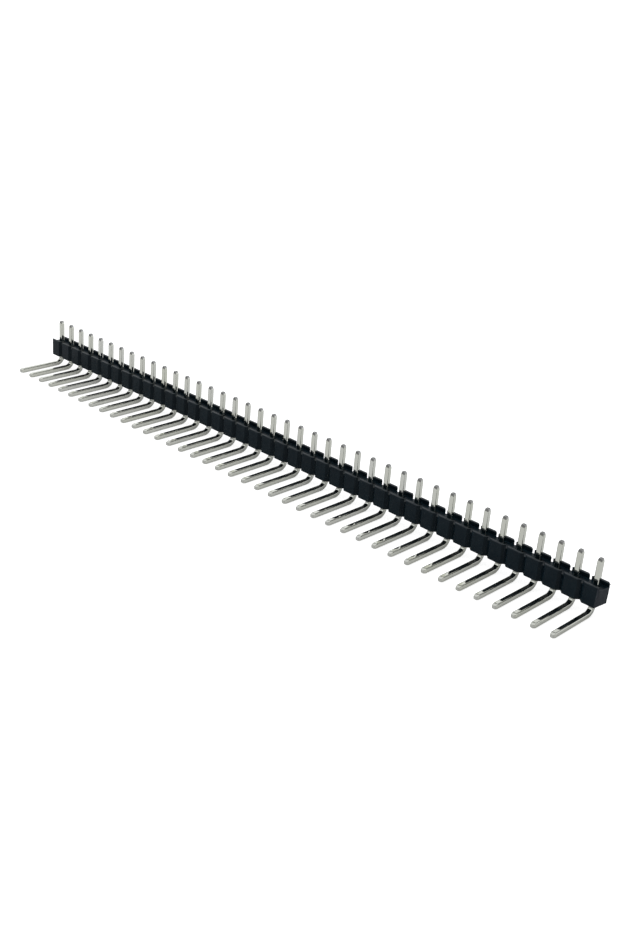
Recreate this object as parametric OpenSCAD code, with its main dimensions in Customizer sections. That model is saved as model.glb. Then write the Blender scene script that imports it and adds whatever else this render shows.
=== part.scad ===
// Right-angle pin header strip: one row of square pins held in a snap-apart moulding.
// Millimetres. X runs along the row, Y across it and Z up.
// The origin lies under the middle of the strip, on the surface that the bent legs rest on.

/* [Row] */
// Number of pins in the row
ways = 40; // [2:1:50]
// Distance from one pin to the next
pitch = 2.54; // [2.3:0.02:5.08]

/* [Housing] */
// Width of the moulding across the row
housing_depth = 2.4; // [2:0.1:5]
// Height of the moulding along the pins, rims included
housing_height = 2.5; // [1.5:0.1:9]
// Depth of the 45 degree V notch where two cells snap apart
notch_depth = 0.45; // [0.2:0.05:0.6]
// Width of the two rims that stand on the circuit board
rim_width = 0.35; // [0.2:0.05:0.5]
// Depth of the channel between the rims
channel_depth = 0.45; // [0.1:0.05:0.8]
// Size of the bevel that led the pin into its hole
lead_in = 0.12; // [0.05:0.01:0.2]
// Gap between a pin and its hole, on every side
pin_clearance = 0.01; // [0.005:0.005:0.03]

/* [Pins] */
// Side of the square wire
pin_side = 0.64; // [0.5:0.02:0.8]
// Break on the four long edges of the wire
edge_break = 0.08; // [0.02:0.01:0.12]
// Length of the straight tail above the rims
tail_length = 3; // [2:0.1:12]
// Distance from the underside of the moulding down to the middle of the legs
leg_drop = 1.3; // [1.1:0.05:4]
// Distance from the middle of the upright wire to the tips of the legs
leg_reach = 7.8; // [4:0.05:15]
// Inside radius of the bend
bend_radius = 0.7; // [0.3:0.05:0.9]
// Length of the tapered tips
tip_length = 0.4; // [0.2:0.05:1]
// Side of the small flat on the end of a tip
tip_flat = 0.42; // [0.2:0.02:0.46]

/* [Hidden] */

housing_colour = [0.13, 0.15, 0.17];
pin_colour = [0.80, 0.79, 0.77];

// Heights above the surface that the legs rest on
leg_z = pin_side / 2;
underside_z = leg_z + leg_drop;
rim_z = underside_z + housing_height;
channel_z = rim_z - channel_depth;
tail_z = rim_z + tail_length;

// The moulding
half_pitch = pitch / 2;
half_depth = housing_depth / 2;
strip_length = ways * pitch;
channel_width = housing_depth - 2 * rim_width;
hole_side = pin_side + 2 * pin_clearance;
// The hole's broken corners keep the same gap from the wire's as its flats do
hole_break = edge_break + (2 - sqrt(2)) * pin_clearance;

// The pins
bend_centre = bend_radius + pin_side / 2;
tip_slope = (pin_side - tip_flat) / 2 / tip_length;

// The row stands behind the middle by this much, so that the legs and moulding are centred
row_y = (leg_reach - half_depth) / 2;

// A cutting shape runs past the face that it cuts by this much
overcut = 1;
// A bounding outline stands clear of the sides of the wire by this much
margin = 0.1;

function pin_name(n) = str("pin_", n < 10 ? "0" : "", n);
function pin_x(n) = (n - (ways + 1) / 2) * pitch;

// Corners along one long side of the moulding: a V notch, then a flat, for each cell.
// The side is 1 for the back, and -1 for the front, which is the back turned half round.
function side_points(side) = [
    for (n = [1:ways])
        for (corner = [
            [half_pitch, half_depth - notch_depth],
            [half_pitch - notch_depth, half_depth],
            [notch_depth - half_pitch, half_depth]
        ])
            side * [corner[0] - pin_x(n), corner[1]]
];

// The row of eight-sided cells, seen from above
module housing_outline() {
    end = [-strip_length / 2, half_depth - notch_depth];
    polygon(concat(side_points(1), [end], side_points(-1), [-end]));
}

// The square wire's section, and its hole's: a square with broken corners
module wire_section(side, corner) {
    half = side / 2;
    flat = half - corner;
    polygon([
        [flat, -half], [half, -flat], [half, flat], [flat, half],
        [-flat, half], [-half, flat], [-half, -flat], [-flat, -half]
    ]);
}

// The solid, four-sided about Z, that shows one and the same outline from the front and from the side
module four_sided(width) {
    intersection() {
        rotate([90, 0, 0])
            linear_extrude(width, center = true)
                children();
        rotate([90, 0, 90])
            linear_extrude(width, center = true)
                children();
    }
}

// Straight wire that rises from z = 0 to a tapered tip
module pointed_wire(length) {
    half = pin_side / 2 + margin;
    shoulder = length - tip_length - margin / tip_slope;
    intersection() {
        linear_extrude(length)
            wire_section(pin_side, edge_break);
        four_sided(2 * half)
            polygon([
                [-half, -overcut], [half, -overcut],
                [half, shoulder], [tip_flat / 2, length],
                [-tip_flat / 2, length], [-half, shoulder]
            ]);
    }
}

// Quarter turn of the wire, from straight down to straight out to the front
module bend() {
    rotate([-90, 0, 0])
        rotate([0, -90, 0])
            rotate_extrude(angle = 90, $fn = 64)
                translate([bend_centre, 0])
                    wire_section(pin_side, edge_break);
}

// One pin: a tail up through the moulding, a bend below it, and a leg out to the front
module pin() {
    bend_z = leg_z + bend_centre;
    color(pin_colour) {
        translate([0, 0, bend_z])
            pointed_wire(tail_z - bend_z);
        translate([0, -bend_centre, bend_z])
            bend();
        translate([0, -bend_centre, leg_z])
            rotate([90, 0, 0])
                pointed_wire(leg_reach - bend_centre);
    }
}

// Hole through the moulding for one pin, bevelled in the channel where the pin was pushed in
module pin_hole() {
    half = hole_side / 2;
    wide = half + lead_in;
    translate([0, 0, underside_z - overcut])
        linear_extrude(housing_height + 2 * overcut)
            wire_section(hole_side, hole_break);
    translate([0, 0, channel_z])
        four_sided(2 * wide)
            polygon([
                [-half, -lead_in], [half, -lead_in],
                [wide, 0], [wide, margin],
                [-wide, margin], [-wide, 0]
            ]);
}

// The moulding: snap-apart cells in one piece, with a channel along the board side
module housing() {
    color(housing_colour)
        difference() {
            translate([0, 0, underside_z])
                linear_extrude(housing_height)
                    housing_outline();
            translate([-strip_length / 2 - overcut, -channel_width / 2, channel_z])
                cube([strip_length + 2 * overcut, channel_width, channel_depth + overcut]);
            for (n = [1:ways])
                translate([pin_x(n), 0, 0])
                    pin_hole();
        }
}

translate([0, row_y, 0])
        housing();
for (n = [1:ways])
    translate([pin_x(n), row_y, 0])
            pin();
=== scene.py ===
# %% [markdown]
# # A right-angle pin header strip
# Forty square pins of tinned wire stand in a black moulding that can be snapped apart between any
# two pins. The CAD frame already has every piece at its real size. What Blender adds is the finish:
# rounded edges that catch the light, plated metal that mirrors what lies round it, and moulded plastic.

# %% The frame
import math

import bmesh
import bpy
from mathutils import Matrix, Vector


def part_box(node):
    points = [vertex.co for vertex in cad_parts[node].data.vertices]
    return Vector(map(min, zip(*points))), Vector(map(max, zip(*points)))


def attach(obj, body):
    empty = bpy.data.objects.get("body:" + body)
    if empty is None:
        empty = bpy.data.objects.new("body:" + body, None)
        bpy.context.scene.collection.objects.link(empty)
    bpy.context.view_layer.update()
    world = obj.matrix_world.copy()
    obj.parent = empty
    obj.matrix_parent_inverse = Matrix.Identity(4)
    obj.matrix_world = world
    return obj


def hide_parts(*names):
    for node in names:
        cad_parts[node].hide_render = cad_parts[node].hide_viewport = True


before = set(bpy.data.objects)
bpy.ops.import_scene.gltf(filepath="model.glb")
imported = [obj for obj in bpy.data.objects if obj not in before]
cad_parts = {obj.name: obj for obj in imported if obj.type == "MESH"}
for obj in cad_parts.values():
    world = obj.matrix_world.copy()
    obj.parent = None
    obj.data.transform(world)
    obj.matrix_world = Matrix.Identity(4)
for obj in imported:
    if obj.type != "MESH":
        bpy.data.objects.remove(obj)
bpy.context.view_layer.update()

print("CAD nodes:", len(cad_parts))

# %% [markdown]
# ## Sizes
# Nothing is measured twice: the pitch, the wire and the heights come from the boxes of the CAD nodes.
# Only what a box can't show, such as the depth of a notch, is written here, in millimetres made metres.

# %% Sizes read from the frame
mm = 0.001
pin_names = sorted(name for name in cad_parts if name.startswith("pin_"))
ways = len(pin_names)

first_low, first_high = (Vector(corner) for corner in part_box(pin_names[0]))
last_low = Vector(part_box(pin_names[-1])[0])
housing_low, housing_high = (Vector(corner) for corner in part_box("housing"))

pin_side = first_high.x - first_low.x
first_x = (first_low.x + first_high.x) / 2
pitch = (last_low.x - first_low.x) / (ways - 1)
row_y = first_high.y - pin_side / 2
leg_z = first_low.z + pin_side / 2
leg_tip_y = first_low.y
tail_tip_z = first_high.z
underside_z = housing_low.z
rim_z = housing_high.z
housing_depth = housing_high.y - housing_low.y
print(f"{ways} pins at {pitch / mm:.2f} mm, wire {pin_side / mm:.2f} mm square")
print(f"moulding from {underside_z / mm:.2f} to {rim_z / mm:.2f} mm, {housing_depth / mm:.2f} mm across")

# %% Sizes inside the pieces
notch_depth = 0.45 * mm
rim_width = 0.35 * mm
channel_depth = 0.45 * mm
lead_in = 0.12 * mm
bend_radius = 0.7 * mm
tip_length = 0.4 * mm
tip_flat = 0.42 * mm
tip_rounding = 0.06 * mm
wire_rounding = 0.13 * mm
moulding_rounding = 0.03 * mm
half_pitch = pitch / 2
bend_centre = bend_radius + pin_side / 2
bend_z = leg_z + bend_centre
channel_z = rim_z - channel_depth
print(f"notches {notch_depth / mm:.2f} mm deep, bends of {bend_radius / mm:.2f} mm inside radius")

# %% [markdown]
# ## Working in edit mode from code
# By hand one would click on an edge and bevel it. In code the edge has to be found first, by where it
# lies or which way it faces, so one small helper selects by a test and everything else is an operator.

# %% Helpers for selecting
def clear_selection():
    for other in bpy.context.selected_objects:
        other.select_set(False)


def edit_new(name):
    """Names the primitive that was just added, puts its place into its mesh and opens it for editing."""
    piece = bpy.context.active_object
    piece.name = name
    piece.data.name = name
    bpy.ops.object.transform_apply(location=True, rotation=True, scale=True)
    bpy.ops.object.mode_set(mode="EDIT")
    return piece


def pick(piece, kind, test):
    """Selects the vertices, edges or faces of the piece that pass the test, and nothing else."""
    bpy.ops.mesh.select_mode(type=kind)
    bpy.ops.mesh.select_all(action="DESELECT")
    mesh = bmesh.from_edit_mesh(piece.data)
    elements = {"VERT": mesh.verts, "EDGE": mesh.edges, "FACE": mesh.faces}[kind]
    found = [element for element in elements if test(element)]
    for element in found:
        element.select_set(True)
    bmesh.update_edit_mesh(piece.data)
    return len(found)


# Corners closer than this count as being at one place
same_place = 0.002 * mm


def near(a, b):
    return abs(a - b) < same_place


def all_at(element, axis, place):
    """True if every corner of the edge or face lies at that place along the axis."""
    return all(near(corner.co[axis], place) for corner in element.verts)


def apply_modifiers(piece):
    bpy.context.view_layer.objects.active = piece
    for modifier in list(piece.modifiers):
        bpy.ops.object.modifier_apply(modifier=modifier.name)

# %% [markdown]
# ## The pin
# The real pin is cut from square wire, its ends pressed to a taper and its lower part bent over a
# former. It is modelled the same way: the wire's section is drawn once as a square whose corners are
# bevelled, spun through the bend, and extruded both ways to the tips. A curve with a bevel profile
# would also do, but the operators give clean rings to taper and a bend with an exact inside radius.

# %% The wire's section, spun through the bend
corner_segments = 6
bend_steps = 16
clear_selection()
bpy.ops.mesh.primitive_plane_add(size=pin_side, location=(0, row_y, bend_z))
pin_model = edit_new("pin_model")
bpy.ops.mesh.select_all(action="SELECT")
bpy.ops.mesh.bevel(offset=wire_rounding, segments=corner_segments, affect="VERTICES")
bpy.ops.mesh.select_all(action="SELECT")
bpy.ops.mesh.delete(type="ONLY_FACE")
bpy.ops.mesh.select_all(action="SELECT")
bpy.ops.mesh.spin(
    steps=bend_steps, angle=math.pi / 2, center=(0, row_y - bend_centre, bend_z), axis=(1, 0, 0)
)
print("bend:", bend_steps, "steps of a section with corners of", corner_segments, "segments")

# %% The leg and the tail, each with its tapered tip
def extrude_ring(move):
    bpy.ops.mesh.extrude_region_move(TRANSFORM_OT_translate={"value": move})


def taper_ring(move, centre):
    """Extrudes the selected ring along the wire and draws it in to the small flat on the tip."""
    extrude_ring(move)
    shrink = tip_flat / pin_side
    bpy.ops.transform.resize(value=(shrink, shrink, shrink), center_override=centre)
    bpy.ops.mesh.edge_face_add()


pick(pin_model, "EDGE", lambda edge: edge.is_boundary and all_at(edge, 1, row_y - bend_centre))
leg_shoulder_y = leg_tip_y + tip_length
extrude_ring((0, leg_shoulder_y - (row_y - bend_centre), 0))
taper_ring((0, -tip_length, 0), (0, leg_tip_y, leg_z))

pick(pin_model, "EDGE", lambda edge: edge.is_boundary and all_at(edge, 2, bend_z))
tail_shoulder_z = tail_tip_z - tip_length
extrude_ring((0, 0, tail_shoulder_z - bend_z))
taper_ring((0, 0, tip_length), (0, row_y, tail_tip_z))
print(f"leg tip at {leg_tip_y / mm:.2f} mm, tail tip at {tail_tip_z / mm:.2f} mm")

# %% Rounding the tips: first the shoulders, then the ends
wire_crease = math.radians(17)
shoulders = pick(
    pin_model, "EDGE", lambda edge: all_at(edge, 1, leg_shoulder_y) or all_at(edge, 2, tail_shoulder_z)
)
bpy.ops.mesh.bevel(offset=tip_rounding, segments=3, affect="EDGES")
ends = pick(pin_model, "EDGE", lambda edge: all_at(edge, 1, leg_tip_y) or all_at(edge, 2, tail_tip_z))
bpy.ops.mesh.bevel(offset=tip_rounding, segments=4, affect="EDGES")
bpy.ops.mesh.select_all(action="SELECT")
bpy.ops.mesh.normals_make_consistent(inside=False)
bpy.ops.object.mode_set(mode="OBJECT")
clear_selection()
pin_model.select_set(True)
bpy.ops.object.shade_smooth_by_angle(angle=wire_crease)
bpy.ops.object.modifier_add(type="WEIGHTED_NORMAL")
pin_model.modifiers[-1].keep_sharp = True
apply_modifiers(pin_model)
print("pin:", len(pin_model.data.polygons), "faces, edges rounded:", shoulders, "+", ends)

# %% [markdown]
# ## One cell of the moulding
# The moulding repeats forty times, so one cell is enough: a block whose four upright corners are cut
# off at 45 degrees, with a channel across its top and a square hole down its middle. Its two sides are
# opened in the next step, so that an Array modifier can weld the copies into one shell with no walls
# inside. Forty whole blocks could be fused by Booleans too, but they handle touching faces poorly.

# %% A block with its corners cut off
def is_upright(edge):
    start, end = (corner.co for corner in edge.verts)
    return near(start.x, end.x) and near(start.y, end.y)


clear_selection()
bpy.ops.mesh.primitive_cube_add(
    size=1,
    location=(first_x, row_y, (underside_z + rim_z) / 2),
    scale=(pitch, housing_depth, rim_z - underside_z),
)
moulding = edit_new("moulding")
upright = pick(moulding, "EDGE", is_upright)
bpy.ops.mesh.bevel(offset=notch_depth, segments=1, affect="EDGES")
bpy.ops.object.mode_set(mode="OBJECT")
print("upright corners cut off:", upright)

# %% Cutting the channel and the hole
def combine_shapes(piece, tool, operation):
    """Takes the tool's shape away from the piece, or fuses it on, then throws the tool away."""
    clear_selection()
    bpy.context.view_layer.objects.active = piece
    piece.select_set(True)
    bpy.ops.object.modifier_add(type="BOOLEAN")
    boolean = piece.modifiers[-1]
    boolean.operation = operation
    boolean.solver = "EXACT"
    boolean.object = tool
    apply_modifiers(piece)
    bpy.data.objects.remove(tool)


clear_selection()
bpy.ops.mesh.primitive_cube_add(
    size=1,
    location=(first_x, row_y, rim_z),
    scale=(2 * pitch, housing_depth - 2 * rim_width, 2 * channel_depth),
)
channel_cutter = edit_new("channel_cutter")
bpy.ops.object.mode_set(mode="OBJECT")
combine_shapes(moulding, channel_cutter, "DIFFERENCE")

clear_selection()
bpy.ops.mesh.primitive_cube_add(
    size=1,
    location=(first_x, row_y, (underside_z + channel_z) / 2),
    scale=(pin_side, pin_side, channel_z - underside_z + 2 * lead_in),
)
hole_cutter = edit_new("hole_cutter")
cutter_top = channel_z + lead_in
pick(hole_cutter, "FACE", lambda face: all_at(face, 2, cutter_top))
bpy.ops.transform.translate(value=(0, 0, -2 * lead_in))
spread = (pin_side + 4 * lead_in) / pin_side
extrude_ring((0, 0, 2 * lead_in))
bpy.ops.transform.resize(value=(spread, spread, 1), center_override=(first_x, row_y, cutter_top))
bpy.ops.object.mode_set(mode="OBJECT")
combine_shapes(moulding, hole_cutter, "DIFFERENCE")
print("cell:", len(moulding.data.polygons), "faces")

# %% [markdown]
# ## Rounding the cell's edges and welding forty of them
# A moulded edge is never quite sharp: it has a radius of a few hundredths of a millimetre, which is
# what draws the thin light line along it. The edges are rounded on the one cell, before it is repeated.
# Edges on the open sides are left out, because there two cells meet in the V of a notch.

# %% Opening the sides and rounding the edges
bpy.context.view_layer.objects.active = moulding
bpy.ops.object.mode_set(mode="EDIT")
side_faces = (first_x - half_pitch, first_x + half_pitch)
pick(moulding, "FACE", lambda face: any(all_at(face, 0, side) for side in side_faces))
bpy.ops.mesh.delete(type="FACE")
hole_reach = pin_side / 2 + 2 * lead_in
sharp_angle = math.radians(30)


def is_outer_edge(edge):
    """True for a sharp, outward edge that isn't part of the hole or of an open side."""
    if edge.is_boundary or not edge.is_manifold or not edge.is_convex:
        return False
    in_hole = all(
        abs(corner.co.x - first_x) < hole_reach and abs(corner.co.y - row_y) < hole_reach
        for corner in edge.verts
    )
    return not in_hole and edge.calc_face_angle() > sharp_angle


def round_edges():
    bpy.ops.mesh.bevel(offset=moulding_rounding, segments=3, affect="EDGES", clamp_overlap=True)


rounded = pick(moulding, "EDGE", is_outer_edge)
round_edges()
print("edges rounded on a cell:", rounded)

# %% Forty cells in one shell, closed at the far end
bpy.ops.object.mode_set(mode="OBJECT")
bpy.ops.object.modifier_add(type="ARRAY")
row = moulding.modifiers[-1]
row.count = ways
row.use_relative_offset = False
row.use_constant_offset = True
row.constant_offset_displace = (pitch, 0, 0)
row.use_merge_vertices = True
row.merge_threshold = 0.005 * mm
apply_modifiers(moulding)

bpy.ops.object.mode_set(mode="EDIT")
pick(moulding, "EDGE", lambda edge: edge.is_boundary and all_at(edge, 0, housing_low.x))
bpy.ops.mesh.edge_face_add()
round_edges()
print("cells:", ways)

# %% [markdown]
# ## The end that was snapped off
# The strip was broken from a longer one at a notch. Plastic doesn't tear exactly along the notch: the
# broken face leans, it is rough, and the corner that let go last keeps a small burr. Bisect cuts the
# lean, small triangles moved at random make the face rough, and the burr is a thin cone fused on.

# %% The leaning break
snap_inset = 0.16 * mm
tear_depth = 0.04 * mm
snap_point = Vector((housing_high.x - snap_inset, row_y + housing_depth / 2 - notch_depth, rim_z))
snap_normal = Vector((1, -0.12, -0.02)).normalized()
bpy.ops.mesh.select_all(action="SELECT")
bpy.ops.mesh.bisect(
    plane_co=snap_point, plane_no=snap_normal, use_fill=True, clear_outer=True, threshold=0.0001 * mm
)


def is_broken(face):
    """True if the face lies on the plane of the break and looks along its normal."""
    off_plane = (face.calc_center_median() - snap_point).dot(snap_normal)
    return abs(off_plane) < 0.001 * mm and abs(face.normal.dot(snap_normal)) > 0.999


broken_faces = pick(moulding, "FACE", is_broken)
bpy.ops.mesh.quads_convert_to_tris(ngon_method="BEAUTY")
bpy.ops.mesh.subdivide(number_cuts=6)
inner = pick(moulding, "VERT", lambda vertex: all(is_broken(face) for face in vertex.link_faces))
bpy.ops.transform.vertex_random(offset=tear_depth, uniform=0, normal=1, seed=4)
bpy.ops.object.mode_set(mode="OBJECT")
print("broken faces:", broken_faces, "points moved:", inner)

# %% The burr at the corner of the rim
burr_length = 0.32 * mm
burr_root = 0.07 * mm
burr_point = 0.01 * mm
burr_y = snap_point.y + 0.175 * mm
burr_z = rim_z - 0.08 * mm
clear_selection()
bpy.ops.mesh.primitive_cone_add(
    vertices=8,
    radius1=burr_root,
    radius2=burr_point,
    depth=burr_length,
    location=(housing_high.x - burr_length / 2, burr_y, burr_z),
    rotation=(0, math.pi / 2, 0),
)
burr = edit_new("burr")
bpy.ops.object.mode_set(mode="OBJECT")
combine_shapes(moulding, burr, "UNION")
print(f"burr: {burr_length / mm:.2f} mm long")

# %% Shading the moulding
moulding_crease = math.radians(32)
end_cell_x = housing_high.x - half_pitch
bpy.ops.object.mode_set(mode="EDIT")
# The long faces that meet the small ones of the break are split, so that none is left as a sliver
pick(moulding, "FACE", lambda face: any(corner.co.x > end_cell_x for corner in face.verts))
bpy.ops.mesh.quads_convert_to_tris(quad_method="BEAUTY", ngon_method="BEAUTY")
bpy.ops.mesh.select_all(action="SELECT")
bpy.ops.mesh.normals_make_consistent(inside=False)
left_open = pick(moulding, "EDGE", lambda edge: edge.is_boundary)
bpy.ops.object.mode_set(mode="OBJECT")
clear_selection()
moulding.select_set(True)
bpy.ops.object.shade_smooth_by_angle(angle=moulding_crease)
bpy.ops.object.modifier_add(type="WEIGHTED_NORMAL")
moulding.modifiers[-1].keep_sharp = True
apply_modifiers(moulding)
print("moulding:", len(moulding.data.polygons), "faces, open edges:", left_open)

# %% [markdown]
# ## Materials
# Both finishes are built from noise and position in Object coordinates, so that they stay put on the
# piece. A node tree grows long quickly, so each helper here adds one small idea, such as a noise or a
# smooth step, and returns the socket that the next one takes.

# %% Helpers for materials
def new_material(name):
    material = bpy.data.materials.new(name)
    material.use_nodes = True
    nodes = material.node_tree.nodes
    return material, nodes, material.node_tree.links, nodes["Principled BSDF"]


def stretched_noise(nodes, links, stretch, scale, detail):
    """Noise on Object coordinates, squeezed by the stretch along each axis."""
    place = nodes.new("ShaderNodeTexCoord")
    mapping = nodes.new("ShaderNodeMapping")
    mapping.inputs["Scale"].default_value = stretch
    noise = nodes.new("ShaderNodeTexNoise")
    noise.inputs["Scale"].default_value = scale
    noise.inputs["Detail"].default_value = detail
    links.new(place.outputs["Object"], mapping.inputs["Vector"])
    links.new(mapping.outputs["Vector"], noise.inputs["Vector"])
    return noise.outputs["Fac"]


def rise(nodes, links, value, start, end, low=0.0, high=1.0, course="SMOOTHSTEP"):
    """Goes from low to high while the value goes from start to end."""
    span = nodes.new("ShaderNodeMapRange")
    span.interpolation_type = course
    span.inputs["From Min"].default_value = start
    span.inputs["From Max"].default_value = end
    span.inputs["To Min"].default_value = low
    span.inputs["To Max"].default_value = high
    links.new(value, span.inputs["Value"])
    return span.outputs["Result"]


def ramp(nodes, links, noise, low, high):
    """Goes from low to high over the middle of a noise, where most of its values lie."""
    return rise(nodes, links, noise, 0.3, 0.7, low, high, course="LINEAR")


def feed(links, socket, value):
    """Links a value that comes from another node, and writes a number or a colour into the socket."""
    if isinstance(value, bpy.types.NodeSocket):
        links.new(value, socket)
    else:
        socket.default_value = value


def mix(nodes, links, factor, a, b, kind="FLOAT"):
    """Gives a where the factor is 0, b where it is 1, and a blend of the two between."""
    blend = nodes.new("ShaderNodeMix")
    blend.data_type = kind
    for name, value in (("Factor", factor), ("A", a), ("B", b)):
        feed(links, blend.inputs[name], value)
    return blend.outputs["Result"]


def add_bump(nodes, links, shader, height, distance, strength):
    bump = nodes.new("ShaderNodeBump")
    bump.inputs["Distance"].default_value = distance
    bump.inputs["Strength"].default_value = strength
    links.new(height, bump.inputs["Height"])
    links.new(bump.outputs["Normal"], shader.inputs["Normal"])


def place_along(nodes, links, axis):
    """One coordinate of the point that is shaded, in metres."""
    place = nodes.new("ShaderNodeTexCoord")
    split = nodes.new("ShaderNodeSeparateXYZ")
    links.new(place.outputs["Object"], split.inputs["Vector"])
    return split.outputs[axis]


def combine(nodes, links, operation, a, b):
    """One step of arithmetic on two numbers or sockets."""
    maths = nodes.new("ShaderNodeMath")
    maths.operation = operation
    for socket, value in zip(maths.inputs, (a, b)):
        feed(links, socket, value)
    return maths.outputs["Value"]

# %% [markdown]
# ## Tinned wire
# The pins are brass wire under bright tin, which mirrors what lies round it. A metallic shader does
# that by itself, and its colour is only the faintly warm grey of tin. An even mirror would look false,
# so three things break it: the tint changes a little from pin to pin, the ends were cut after plating
# and are duller, and fine lines from the drawing die run along the wire as a very shallow bump.

# %% Tinned wire
def tinned_wire():
    warm_tin = (0.77, 0.78, 0.69, 1)
    cool_tin = (0.80, 0.805, 0.76, 1)
    bare_metal = (0.42, 0.42, 0.41, 1)
    raggedness = 0.25 * mm
    material, nodes, links, shader = new_material("tinned_wire")
    shader.inputs["Metallic"].default_value = 1.0
    # Pins differ a little in tint, because the plating does: this noise hardly changes within a pin
    from_pin_to_pin = stretched_noise(nodes, links, stretch=(1, 0.02, 0.02), scale=520, detail=1)
    clouds = stretched_noise(nodes, links, stretch=(1, 1, 1), scale=1800, detail=4)
    tint = ramp(nodes, links, from_pin_to_pin, low=0, high=1)
    plating = mix(nodes, links, tint, warm_tin, cool_tin, "RGBA")
    # The very ends were cut after plating, so bare dull metal shows there, with a ragged border
    up = place_along(nodes, links, "Z")
    forward = place_along(nodes, links, "Y")
    ragged = combine(nodes, links, "MULTIPLY", clouds, raggedness)
    tail_end = rise(nodes, links, combine(nodes, links, "ADD", up, ragged),
                    tail_tip_z - 0.24 * mm, tail_tip_z - 0.02 * mm)
    leg_end = rise(nodes, links, combine(nodes, links, "SUBTRACT", forward, ragged),
                   leg_tip_y + 0.15 * mm, leg_tip_y - 0.05 * mm)
    bare = combine(nodes, links, "MAXIMUM", tail_end, combine(nodes, links, "MULTIPLY", leg_end, 0.4))
    colour = mix(nodes, links, bare, plating, bare_metal, "RGBA")
    links.new(colour, shader.inputs["Base Color"])
    smooth = ramp(nodes, links, clouds, low=0.03, high=0.055)
    roughness = combine(nodes, links, "ADD", smooth, combine(nodes, links, "MULTIPLY", bare, 0.2))
    links.new(roughness, shader.inputs["Roughness"])
    # Fine lines left by the drawing die run along the wire, up the tail and along the leg
    along_tail = stretched_noise(nodes, links, stretch=(1, 1, 0.04), scale=9000, detail=2)
    along_leg = stretched_noise(nodes, links, stretch=(1, 0.04, 1), scale=9000, detail=2)
    lines = mix(nodes, links, rise(nodes, links, up, leg_z, bend_z), along_leg, along_tail)
    add_bump(nodes, links, shader, lines, distance=0.002 * mm, strength=0.15)
    return material


wire_material = tinned_wire()
print("material:", wire_material.name)

# %% [markdown]
# ## Moulded black plastic
# The moulding is glass-filled polyester: nearly black with a cold cast, and dull, because the steel of
# the mould was etched. Colour alone would leave it a flat silhouette. The look comes from a low
# specular level, an uneven roughness and a fine grain in the bump. The rim tops carry a painted sheen:
# they are painted paler for the bright backdrop they mirror. The snapped ends are paler too, partly as
# stress whitening and partly as painted light that lifts the end the lamp leaves in shade. Masks by
# height and by distance from a plane place that without any image.

# %% Moulded black plastic
def past_plane(nodes, links, point, normal):
    """1 on the plane and past it, falling to 0 a few hundredths of a millimetre behind it."""
    place = nodes.new("ShaderNodeTexCoord")
    height = nodes.new("ShaderNodeVectorMath")
    height.operation = "DOT_PRODUCT"
    height.inputs[1].default_value = normal
    links.new(place.outputs["Object"], height.inputs[0])
    plane = normal.dot(point)
    return rise(nodes, links, height.outputs["Value"], plane - 0.06 * mm, plane - 0.03 * mm)


def moulded_plastic():
    dark_skin = (0.0035, 0.0090, 0.0140, 1)
    light_skin = (0.0055, 0.0130, 0.0190, 1)
    # Painted sheen for the rim tops: a paler colour standing in for the backdrop they mirror
    rim_painted_sheen = (0.026, 0.032, 0.038, 1)
    # Colours of the snapped faces: partly stress whitening, partly painted light that lifts the shaded
    # end
    dark_whitening_and_painted_light = (0.030, 0.036, 0.044, 1)
    light_whitening_and_painted_light = (0.062, 0.070, 0.082, 1)
    material, nodes, links, shader = new_material("moulded_plastic")
    shader.inputs["Specular IOR Level"].default_value = 0.13
    clouds = stretched_noise(nodes, links, stretch=(1, 1, 1), scale=700, detail=4)
    grain = stretched_noise(nodes, links, stretch=(1, 1, 1), scale=14000, detail=3)
    cloudy = ramp(nodes, links, clouds, low=0, high=1)
    skin = mix(nodes, links, cloudy, dark_skin, light_skin, "RGBA")
    whitening_and_painted_light = mix(nodes, links, cloudy, dark_whitening_and_painted_light, light_whitening_and_painted_light, "RGBA")
    # Painted sheen: the tops of the rims are painted a little paler than the faces, for the bright
    # backdrop they mirror
    up = place_along(nodes, links, "Z")
    painted_sheen_on_rim = rise(nodes, links, up, rim_z - 0.05 * mm, rim_z - 0.01 * mm)
    skin_with_painted_sheen = mix(nodes, links, painted_sheen_on_rim, skin, rim_painted_sheen, "RGBA")
    # The two end faces are snapped, so they are rough and a little paler: partly stress whitening, partly
    # painted light that lifts the end the lamp leaves in shade
    snapped = combine(
        nodes, links, "MAXIMUM",
        past_plane(nodes, links, snap_point, snap_normal),
        past_plane(nodes, links, housing_low, Vector((-1, 0, 0))),
    )
    links.new(mix(nodes, links, snapped, skin_with_painted_sheen, whitening_and_painted_light, "RGBA"), shader.inputs["Base Color"])
    moulded = ramp(nodes, links, grain, low=0.24, high=0.36)
    roughness = combine(nodes, links, "ADD", moulded, combine(nodes, links, "MULTIPLY", snapped, 0.3))
    links.new(roughness, shader.inputs["Roughness"])
    add_bump(nodes, links, shader, grain, distance=0.003 * mm, strength=0.3)
    return material


plastic_material = moulded_plastic()
print("material:", plastic_material.name)

# %% [markdown]
# ## Putting the pieces on the frame
# The pin is modelled once at the middle of the row. Each copy gets a mesh of its own, moved to its
# place in that mesh, so that its object stays at the origin as a CAD node's does.

# %% Forty pins
pins = []
for number, name in enumerate(pin_names):
    mesh = pin_model.data.copy()
    mesh.name = "wire_" + name
    for vertex in mesh.vertices:
        vertex.co.x += first_x + number * pitch
    pin = bpy.data.objects.new("wire_" + name, mesh)
    bpy.context.scene.collection.objects.link(pin)
    pin.data.materials.clear()
    pin.data.materials.append(wire_material)
    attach(pin, "root")
    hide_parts(name)
    pins.append(pin)
bpy.data.objects.remove(pin_model)
print("pins:", len(pins))

# %% The moulding on the frame
moulding.data.materials.clear()
moulding.data.materials.append(plastic_material)
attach(moulding, "root")
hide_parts("housing")
print("moulding of", len(moulding.data.vertices), "points rides on root")

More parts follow.
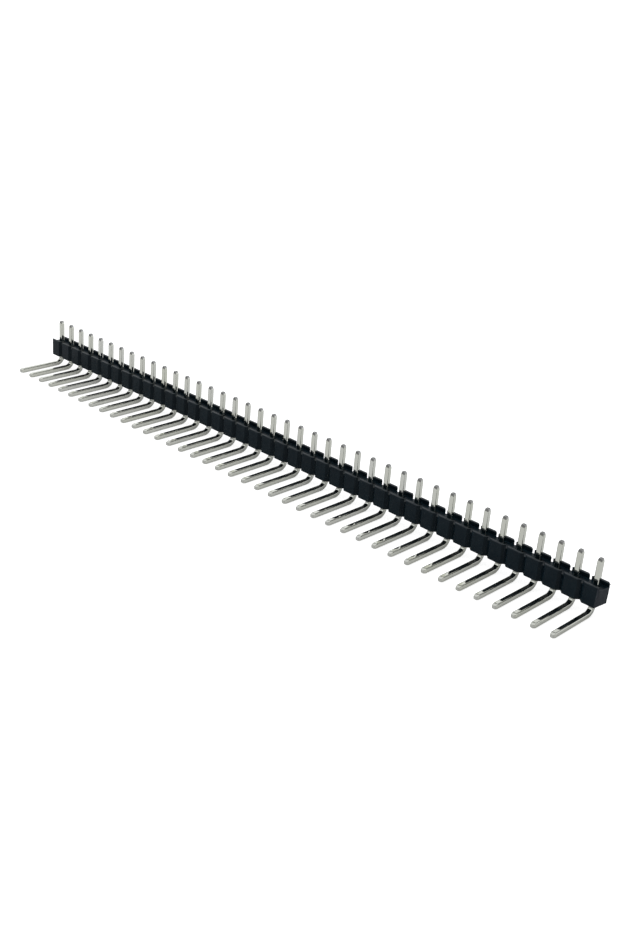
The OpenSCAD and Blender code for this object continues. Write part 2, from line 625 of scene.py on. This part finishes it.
# %% The CAD nodes behind them
for name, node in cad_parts.items():
    node.data.materials.clear()
    node.data.materials.append(plastic_material if name == "housing" else wire_material)
print("CAD nodes with a finish:", len(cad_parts))

# %% [markdown]
# ## Floor
# The strip lies on a plain pale table. A really white one would flood the black plastic with light, so
# this one is pale grey to the light, and its emission lifts it to white for camera rays alone. A little
# is added for mirror rays as well, because plated wire shows the table that it lies on. As the
# emission is added to the light and doesn't replace it, the strip keeps its soft shadow.

# %% Floor
def pale_floor():
    dark_patch = (0.59, 0.59, 0.59, 1)
    light_patch = (0.61, 0.61, 0.61, 1)
    glow_to_camera = 0.795
    glow_to_metal = 0.09
    material, nodes, links, shader = new_material("pale_floor")
    shader.inputs["Roughness"].default_value = 0.9
    shader.inputs["Specular IOR Level"].default_value = 0.0
    clouds = stretched_noise(nodes, links, stretch=(1, 1, 1), scale=6, detail=2)
    links.new(mix(nodes, links, clouds, dark_patch, light_patch, "RGBA"), shader.inputs["Base Color"])
    path = nodes.new("ShaderNodeLightPath")
    seen = combine(nodes, links, "MULTIPLY", path.outputs["Is Camera Ray"], glow_to_camera)
    mirrored = combine(nodes, links, "MULTIPLY", path.outputs["Is Glossy Ray"], glow_to_metal)
    shader.inputs["Emission Color"].default_value = (1, 1, 1, 1)
    links.new(combine(nodes, links, "ADD", seen, mirrored), shader.inputs["Emission Strength"])
    return material


floor_gap = 0.01 * mm
clear_selection()
bpy.ops.mesh.primitive_plane_add(size=3, location=(0, 0, first_low.z - floor_gap))
floor = bpy.context.active_object
floor.name = "floor"
floor.data.materials.append(pale_floor())
print(f"floor: {floor_gap / mm:.2f} mm below the legs")

# %% [markdown]
# ## World
# Metal looks like metal when it mirrors bright cloths with dark gaps between them. Lamps behind cloths
# would do it, but noise-free and simpler is a world that answers each kind of ray by itself. Mirror rays
# meet a bright backdrop behind the strip with a dim band above it, and on the other side a dim wall
# under a bright ceiling. Soft light comes mostly from the low-X side, which shades one flank of every
# notch. The camera meets plain white.

# %% World
def white_room():
    """Soft light from one side, a room of its own for mirror rays, and white for the camera."""
    cool_white = (0.97, 0.985, 1, 1)
    seen_white = 1.1
    world = bpy.data.worlds.new("white_room")
    world.use_nodes = True
    nodes, links = world.node_tree.nodes, world.node_tree.links
    background = nodes["Background"]
    background.inputs["Color"].default_value = cool_white
    direction = nodes.new("ShaderNodeTexCoord")
    split = nodes.new("ShaderNodeSeparateXYZ")
    links.new(direction.outputs["Generated"], split.inputs["Vector"])
    right, back, up = (split.outputs[axis] for axis in ("X", "Y", "Z"))
    behind_strip = rise(nodes, links, up, 0.45, 0.60, low=0.92, high=0.20)
    other_side = rise(nodes, links, up, 0.2, 0.6, low=0.25, high=0.9)
    room = mix(nodes, links, rise(nodes, links, back, 0.25, 0.55), other_side, behind_strip)
    soft_light = rise(nodes, links, right, -0.9, 0.9, low=1.35, high=0.15)
    path = nodes.new("ShaderNodeLightPath")
    lit = mix(nodes, links, path.outputs["Is Glossy Ray"], soft_light, room)
    seen = mix(nodes, links, path.outputs["Is Camera Ray"], lit, seen_white)
    links.new(seen, background.inputs["Strength"])
    return world


bpy.context.scene.world = white_room()
print("world:", bpy.context.scene.world.name)

# %% [markdown]
# ## Lamp
# One large square lamp hangs in front of the strip on the low-X side, half a metre up. An area lamp
# nearly as wide as it is far away gives the soft edge that shadows have under a diffuser. Mirror rays
# don't see it: from above, its image would fill the tops of the legs and make them as white as the floor.

# %% Lamp
def soft_lamp(name, place, size, power):
    """A square area lamp that points at the origin: place and size in metres, power in watts."""
    lamp = bpy.data.lights.new(name, "AREA")
    lamp.shape = "SQUARE"
    lamp.size = size
    lamp.energy = power
    holder = bpy.data.objects.new(name, lamp)
    holder.location = place
    holder.rotation_euler = (-Vector(place)).to_track_quat("-Z", "Y").to_euler()
    holder.visible_glossy = False
    bpy.context.scene.collection.objects.link(holder)


soft_lamp("key_lamp", place=(-0.24, -0.10, 0.54), size=0.50, power=0.8)

# %% [markdown]
# ## Camera
# The camera stands near the last pin and looks down along the row. A long row shows strong
# perspective, so the distance matters as much as the lens: it sets how fast the cells grow smaller.

# %% Camera
def look_from(target, distance, azimuth, elevation, roll, lens):
    """A camera on a sphere round the target: azimuth 0 looks along +Y, and positive turns it to +X."""
    turn, lift = math.radians(azimuth), math.radians(elevation)
    back = Vector((math.sin(turn) * math.cos(lift), -math.cos(turn) * math.cos(lift), math.sin(lift)))
    camera = bpy.data.objects.new("camera", bpy.data.cameras.new("camera"))
    camera.location = Vector(target) + distance * back
    facing = back.to_track_quat("Z", "Y")
    camera.rotation_euler = facing.to_euler()
    camera.rotation_euler.rotate_axis("Z", math.radians(roll))
    camera.data.lens = lens
    camera.data.clip_start = 0.01
    bpy.context.scene.collection.objects.link(camera)
    return camera


target = (8.91 * mm, row_y - 3.15 * mm, rim_z)
camera = look_from(target, distance=155.3 * mm, azimuth=42.35, elevation=23.75, roll=4.73, lens=47.0)
bpy.context.scene.camera = camera
bpy.context.scene.view_settings.view_transform = "Standard"
print("camera:", [round(c, 4) for c in camera.location], "lens", camera.data.lens, "mm")
